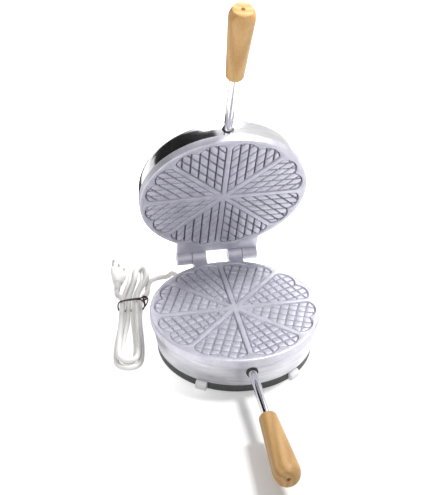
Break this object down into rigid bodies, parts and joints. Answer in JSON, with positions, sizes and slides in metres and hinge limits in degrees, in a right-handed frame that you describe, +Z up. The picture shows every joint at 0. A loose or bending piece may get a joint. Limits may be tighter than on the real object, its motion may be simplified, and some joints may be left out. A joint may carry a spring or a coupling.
{
  "type": "pizzelle maker",
  "caption": "Electric heart-waffle iron: a round base and a hinged lid with cast patterned plates, turned wooden grips on rods, and a mains lead tied in a hank.",
  "frame": {"origin": "on the table under the middle of the iron's bounding box, its lead left out, 66.8 mm in front of the middle of the lower plate", "axes": "+Z up, +Y towards the hinge, -Y along the lower handle, +X to the right seen from the handle"},
  "size_m": [0.2472, 0.4525, 0.4261],
  "materials": {
    "cast_plate": "matte",
    "casing": "polished",
    "rod": "polished",
    "steel": "satin",
    "pan": "matte",
    "beech": "satin",
    "black": "satin",
    "foot": "satin",
    "white_lead": "satin",
    "tie": "matte",
    "pin": "polished"
  },
  "bodies": {
    "base": {"base_shell": "casing", "lower_plate": "cast_plate", "hinge_pin_left": "steel", "hinge_pin_right": "steel", "lower_heating_element": "steel", "lower_clamp_disc": "steel", "lower_clamp_screws": "steel", "thermostat": "steel", "terminal_block": "white_lead", "bottom_cover": "pan", "bottom_screw": "steel", "foot_front_left": "foot", "foot_front_right": "foot", "foot_rear_left": "foot", "foot_rear_right": "foot", "lower_handle_rod": "rod", "lower_handle_bush": "black", "lower_handle_nut": "steel", "lower_handle_grip": "beech", "lower_grip_screw": "steel", "cord_gland": "white_lead", "power_cord": "white_lead", "cord_hank": "white_lead", "cord_tie": "tie", "plug_body": "white_lead", "plug_pins": "pin"},
    "lid": {"upper_shell": "casing", "upper_plate": "cast_plate", "upper_heating_element": "steel", "upper_clamp_disc": "steel", "upper_clamp_screws": "steel", "lid_cap_screw": "steel", "upper_handle_rod": "rod", "upper_handle_bush": "black", "upper_handle_nut": "steel", "upper_handle_grip": "beech", "upper_grip_screw": "steel"}
  },
  "joints": [
    {"name": "lid_hinge", "type": "hinge", "parent": "base", "child": "lid", "pos_m": [0, 0.18279, 0.05], "axis": [-1, 0, 0], "range_deg": [-68, 37]}
  ]
}
